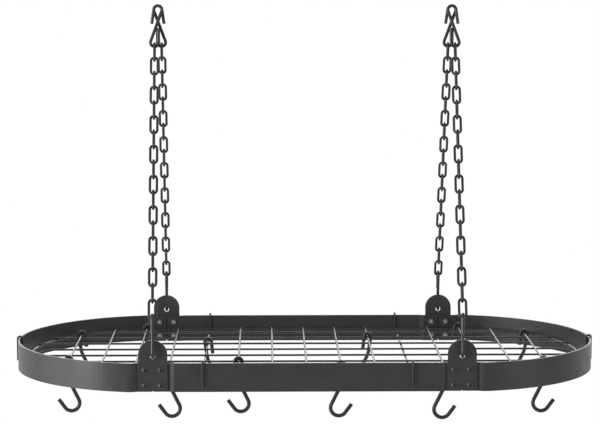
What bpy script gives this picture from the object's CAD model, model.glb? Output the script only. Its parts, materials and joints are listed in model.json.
import json
import math

import bpy
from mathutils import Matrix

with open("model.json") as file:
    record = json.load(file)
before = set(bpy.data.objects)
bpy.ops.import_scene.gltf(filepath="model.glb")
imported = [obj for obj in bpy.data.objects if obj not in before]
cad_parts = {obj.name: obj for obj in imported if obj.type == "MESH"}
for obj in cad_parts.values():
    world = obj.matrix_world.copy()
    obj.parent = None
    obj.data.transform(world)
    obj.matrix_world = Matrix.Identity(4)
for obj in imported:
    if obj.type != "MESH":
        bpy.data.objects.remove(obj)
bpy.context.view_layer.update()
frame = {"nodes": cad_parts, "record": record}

NODES = frame["nodes"]

# Camera, from a fit to the photograph: place in metres, angles in degrees
CAM_PLACE = (-0.0626, -3.371, 0.0474)
CAM_PITCH = 6.32
CAM_YAW = 0.93
FOCAL_PX = 2131.0
FRAME_PX = 600.0
SENSOR_MM = 36.0

# Floor under the hanging rack: height and side in metres, its paper's grey under the
# lamps, and the dimmer grey and the glow it has where it is seen
FLOOR_Z = -1.75
FLOOR_SIDE = 9.0
PAPER_GREY = 0.86
SEEN_GREY = 0.3
SEEN_GLOW = 0.75

# Lamps: name, place, width and height in metres, watts
WORLD_STRENGTH = 0.32
LAMP_AIM = (0, 0, -0.5)
LAMPS = (
    ("key", (-3.0, -1.8, -0.3), (0.7, 1.2), 90),
    ("side", (-3.8, -0.5, -0.3), (2.3, 1.2), 70),
    ("top", (0.0, 2.5, 0.6), (3.0, 1.2), 40),
    ("fill", (2.3, -1.5, -0.3), (1.4, 1.4), 16),
)

# Powder coat: noise scales, the noise levels between which the pale specks come up, how
# much paler they are, and how far the mottle makes the coat smoother and rougher
MOTTLE_SCALE = 42.0
PEEL_SCALE = 1100.0
SPECK_SCALE = PEEL_SCALE * 1.6
SPECK_LEVELS = (0.58, 0.72)
PALE_GAIN = 1.9
PALE_LIFT = 0.01
SMOOTHER = 0.05
ROUGHER = 0.06
POWDER_SPECULAR = 0.28
BEVEL_SAMPLES = 6

# Peel depth and edge radius in metres, and the strength of the specks, by kind of piece
FLAT_STRIP = {"peel_depth": 0.00003, "specks": 0.35, "edge": 0.0005}
ROUND_WIRE = {"peel_depth": 0.000008, "specks": 0.12, "edge": 0.0}

# Zinc plate of the nuts
ZINC_DULL = (0.16, 0.16, 0.157)
ZINC_BRIGHT = (0.26, 0.26, 0.255)
ZINC_ROUGH = (0.24, 0.40)
ZINC_SPOTS = 650.0
ZINC_SCRATCHES = 4200.0

# Blackened steel of the screws
OXIDE_DARK = (0.030, 0.030, 0.031)
OXIDE_RUBBED = (0.060, 0.060, 0.062)
OXIDE_ROUGH = (0.34, 0.48)
OXIDE_RUB = 900.0
RUB_LEVELS = (0.45, 0.7)
OXIDE_SPECULAR = 0.3
SOCKET_DARK = (0.002, 0.002, 0.002)
TIP_BARE = (0.55, 0.55, 0.54)

# Depth of the grain on zinc and blackened steel, in metres
FINE_DEPTH = 0.00001

# The screws, in metres: half the spacing of the plates, half that of a plate's screws
# across and up, the height midway between its two rows, the radius of a socket, how near
# to the rack's long middle line a tip starts to be bare, and the radius of its bare
# middle; a fade is how far before and after its limit a colour changes
PLATE_X = 0.2316
SCREW_X = 0.012
SCREW_Z = 0.01175
SCREW_MID_Z = -0.54845
SOCKET_R = 0.0021
SOCKET_FADE = (0.0001, 0.0002)
TIP_Y = 0.2192
TIP_Y_FADE = (0.0002, 0.0002)
TIP_R = 0.0015
TIP_R_FADE = (0.0003, 0.0003)


# ---- small node helpers ------------------------------------------------------
def new_material(name):
    mat = bpy.data.materials.new(name)
    mat.use_nodes = True
    tree = mat.node_tree
    tree.nodes.clear()
    out = tree.nodes.new("ShaderNodeOutputMaterial")
    shader = tree.nodes.new("ShaderNodeBsdfPrincipled")
    tree.links.new(shader.outputs["BSDF"], out.inputs["Surface"])
    return mat, tree, shader


def object_coord(tree):
    return tree.nodes.new("ShaderNodeTexCoord").outputs["Object"]


def noise(tree, coord, scale, detail=2.0, rough=0.5):
    n = tree.nodes.new("ShaderNodeTexNoise")
    n.inputs["Scale"].default_value = scale
    n.inputs["Detail"].default_value = detail
    n.inputs["Roughness"].default_value = rough
    tree.links.new(coord, n.inputs["Vector"])
    return n.outputs["Fac"]


def spread(tree, value, low, high, from_low=0.3, from_high=0.7):
    """Maps from_low..from_high to low..high; past either end the value stays at it."""
    m = tree.nodes.new("ShaderNodeMapRange")
    m.inputs["From Min"].default_value = from_low
    m.inputs["From Max"].default_value = from_high
    m.inputs["To Min"].default_value = low
    m.inputs["To Max"].default_value = high
    tree.links.new(value, m.inputs["Value"])
    return m.outputs["Result"]


def below(tree, value, limit, fade):
    """1 where value is below limit, else 0, with a fade round the limit."""
    before, after = fade
    return spread(tree, value, 1.0, 0.0, limit - before, limit + after)


def blend_colors(tree, factor, a, b):
    m = tree.nodes.new("ShaderNodeMix")
    m.data_type = "RGBA"
    tree.links.new(factor, m.inputs["Factor"])
    for key, value in (("A", a), ("B", b)):
        socket = [s for s in m.inputs if s.name == key and s.type == "RGBA"][0]
        if isinstance(value, tuple):
            socket.default_value = (*value, 1.0)
        else:
            tree.links.new(value, socket)
    return [s for s in m.outputs if s.type == "RGBA"][0]


def bump(tree, height, distance, normal=None):
    b = tree.nodes.new("ShaderNodeBump")
    b.inputs["Strength"].default_value = 1.0
    b.inputs["Distance"].default_value = distance
    tree.links.new(height, b.inputs["Height"])
    if normal is not None:
        tree.links.new(normal, b.inputs["Normal"])
    return b.outputs["Normal"]


def math_node(tree, operation, a, b=0.0):
    m = tree.nodes.new("ShaderNodeMath")
    m.operation = operation
    for socket, value in zip(m.inputs, (a, b)):
        if isinstance(value, float):
            socket.default_value = value
        else:
            tree.links.new(value, socket)
    return m.outputs[0]


def off_pair(tree, value, middle, half):
    """How far a coordinate lies from the nearer of middle - half and middle + half."""
    from_middle = math_node(tree, "ABSOLUTE", math_node(tree, "SUBTRACT", value, middle))
    return math_node(tree, "SUBTRACT", from_middle, half)


def hypotenuse(tree, a, b):
    square_a = math_node(tree, "MULTIPLY", a, a)
    square_b = math_node(tree, "MULTIPLY", b, b)
    return math_node(tree, "SQRT", math_node(tree, "ADD", square_a, square_b))


# ---- materials ---------------------------------------------------------------
def powder_grey(level):
    """A near neutral grey with a trace more blue, as the coat has."""
    return (level, level, level + 0.0002)


def powder_coat(name, dark, light, rough, peel_depth, specks, edge):
    """Baked powder: fine orange peel, a faint mottle, and paler rubbed spots."""
    mat, tree, shader = new_material(name)
    coord = object_coord(tree)
    mottle = noise(tree, coord, MOTTLE_SCALE, detail=3.0)
    speck = noise(tree, coord, SPECK_SCALE)
    color = blend_colors(tree, spread(tree, mottle, 0.0, 1.0), powder_grey(dark),
                         powder_grey(light))
    pale = tuple(c * PALE_GAIN + PALE_LIFT for c in powder_grey(light))
    color = blend_colors(tree, spread(tree, speck, 0.0, specks, *SPECK_LEVELS), color, pale)
    tree.links.new(color, shader.inputs["Base Color"])
    roughness = spread(tree, mottle, rough - SMOOTHER, rough + ROUGHER)
    tree.links.new(roughness, shader.inputs["Roughness"])
    normal = None
    if edge:
        bevel = tree.nodes.new("ShaderNodeBevel")
        bevel.samples = BEVEL_SAMPLES
        bevel.inputs["Radius"].default_value = edge
        normal = bevel.outputs["Normal"]
    peel = noise(tree, coord, PEEL_SCALE, rough=0.6)
    tree.links.new(bump(tree, peel, peel_depth, normal), shader.inputs["Normal"])
    shader.inputs["Specular IOR Level"].default_value = POWDER_SPECULAR
    return mat


def zinc(name):
    """Zinc plate: bright metal with a faint yellow cast, fine scratches and dull spots."""
    mat, tree, shader = new_material(name)
    coord = object_coord(tree)
    spots = noise(tree, coord, ZINC_SPOTS, detail=3.0)
    color = blend_colors(tree, spread(tree, spots, 0.0, 1.0), ZINC_DULL, ZINC_BRIGHT)
    tree.links.new(color, shader.inputs["Base Color"])
    tree.links.new(spread(tree, spots, *ZINC_ROUGH), shader.inputs["Roughness"])
    scratch = noise(tree, coord, ZINC_SCRATCHES, detail=1.0)
    tree.links.new(bump(tree, scratch, FINE_DEPTH), shader.inputs["Normal"])
    shader.inputs["Metallic"].default_value = 1.0
    return mat


def black_oxide(name):
    """Blackened screw steel: oily satin, dark in the sockets, bare at the cut tips."""
    mat, tree, shader = new_material(name)
    coord = object_coord(tree)
    rub = noise(tree, coord, OXIDE_RUB, detail=3.0, rough=0.6)
    rubbed = spread(tree, rub, 0.0, 1.0, *RUB_LEVELS)
    color = blend_colors(tree, rubbed, OXIDE_DARK, OXIDE_RUBBED)
    place = tree.nodes.new("ShaderNodeSeparateXYZ")
    tree.links.new(coord, place.inputs[0])
    x, y, z = place.outputs
    across = off_pair(tree, off_pair(tree, x, 0.0, PLATE_X), 0.0, SCREW_X)
    up = off_pair(tree, z, SCREW_MID_Z, SCREW_Z)
    from_axis = hypotenuse(tree, across, up)
    color = blend_colors(tree, below(tree, from_axis, SOCKET_R, SOCKET_FADE), color, SOCKET_DARK)
    depth = math_node(tree, "ABSOLUTE", y)
    bare = math_node(tree, "MULTIPLY", below(tree, depth, TIP_Y, TIP_Y_FADE),
                     below(tree, from_axis, TIP_R, TIP_R_FADE))
    color = blend_colors(tree, bare, color, TIP_BARE)
    tree.links.new(color, shader.inputs["Base Color"])
    tree.links.new(bare, shader.inputs["Metallic"])
    tree.links.new(spread(tree, rub, *OXIDE_ROUGH), shader.inputs["Roughness"])
    tree.links.new(bump(tree, rub, FINE_DEPTH), shader.inputs["Normal"])
    shader.inputs["Specular IOR Level"].default_value = OXIDE_SPECULAR
    return mat


MATERIALS = {
    "band_steel": powder_coat("band_powder", 0.023, 0.029, 0.40, **FLAT_STRIP),
    "bracket_plate": powder_coat("plate_powder", 0.023, 0.029, 0.46, **FLAT_STRIP),
    "grid_wire": powder_coat("wire_powder", 0.022, 0.032, 0.27, **ROUND_WIRE),
    "pot_hook": powder_coat("hook_powder", 0.015, 0.021, 0.32, **ROUND_WIRE),
    "s_hook": powder_coat("s_hook_powder", 0.018, 0.026, 0.30, **ROUND_WIRE),
    "chain": powder_coat("chain_powder", 0.018, 0.026, 0.30, **ROUND_WIRE),
    "screw": black_oxide("screw_oxide"),
    "nut": zinc("nut_zinc"),
}

for part in frame["record"]["subparts"]:
    piece = NODES[part["node"]]
    for slot in piece.material_slots:
        slot.material = MATERIALS[part["material_slot"]]


# ---- stage -------------------------------------------------------------------
def white_to_the_eye(tree, plain, white):
    """Mixes two closures: white for camera, glossy and transmission rays, else plain."""
    path = tree.nodes.new("ShaderNodeLightPath")
    seen = path.outputs["Is Camera Ray"]
    for name in ("Is Glossy Ray", "Is Transmission Ray"):
        seen = math_node(tree, "MAXIMUM", seen, path.outputs[name])
    mix = tree.nodes.new("ShaderNodeMixShader")
    tree.links.new(seen, mix.inputs[0])
    tree.links.new(plain, mix.inputs[1])
    tree.links.new(white, mix.inputs[2])
    return mix.outputs["Shader"]


def make_world():
    world = bpy.data.worlds.new("studio")
    bpy.context.scene.world = world
    world.use_nodes = True
    tree = world.node_tree
    tree.nodes.clear()
    soft = tree.nodes.new("ShaderNodeBackground")
    soft.inputs["Strength"].default_value = WORLD_STRENGTH
    white = tree.nodes.new("ShaderNodeBackground")
    for sky in (soft, white):
        sky.inputs["Color"].default_value = (1, 1, 1, 1)
    both = white_to_the_eye(tree, soft.outputs["Background"], white.outputs["Background"])
    out = tree.nodes.new("ShaderNodeOutputWorld")
    tree.links.new(both, out.inputs["Surface"])


def diffuse(tree, grey):
    node = tree.nodes.new("ShaderNodeBsdfDiffuse")
    node.inputs["Color"].default_value = (grey, grey, grey, 1)
    return node.outputs["BSDF"]


def make_floor():
    bpy.ops.mesh.primitive_plane_add(size=FLOOR_SIDE, location=(0, 0, FLOOR_Z))
    floor = bpy.context.object
    floor.name = "floor"
    mat = bpy.data.materials.new("floor_paper")
    mat.use_nodes = True
    tree = mat.node_tree
    tree.nodes.clear()
    glow = tree.nodes.new("ShaderNodeEmission")
    glow.inputs["Strength"].default_value = SEEN_GLOW
    bright = tree.nodes.new("ShaderNodeAddShader")
    tree.links.new(glow.outputs["Emission"], bright.inputs[0])
    tree.links.new(diffuse(tree, SEEN_GREY), bright.inputs[1])
    both = white_to_the_eye(tree, diffuse(tree, PAPER_GREY), bright.outputs["Shader"])
    out = tree.nodes.new("ShaderNodeOutputMaterial")
    tree.links.new(both, out.inputs["Surface"])
    floor.data.materials.append(mat)


def area_light(name, place, size, watts):
    data = bpy.data.lights.new(name, "AREA")
    data.shape = "RECTANGLE"
    data.size, data.size_y = size
    data.energy = watts
    lamp = bpy.data.objects.new(name, data)
    bpy.context.scene.collection.objects.link(lamp)
    lamp.location = place
    x, y, z = (t - p for t, p in zip(LAMP_AIM, place))
    tilt = math.atan2(math.hypot(x, y), -z)
    turn = math.atan2(y, x) - math.pi / 2
    lamp.rotation_euler = (tilt, 0, turn)


def make_camera():
    data = bpy.data.cameras.new("camera")
    data.sensor_width = SENSOR_MM
    data.lens = FOCAL_PX * SENSOR_MM / FRAME_PX
    cam = bpy.data.objects.new("camera", data)
    bpy.context.scene.collection.objects.link(cam)
    cam.location = CAM_PLACE
    cam.rotation_euler = (math.radians(90 - CAM_PITCH), 0, math.radians(-CAM_YAW))
    bpy.context.scene.camera = cam


make_world()
make_floor()
for lamp_row in LAMPS:
    area_light(*lamp_row)
make_camera()
bpy.context.scene.view_settings.view_transform = "Standard"
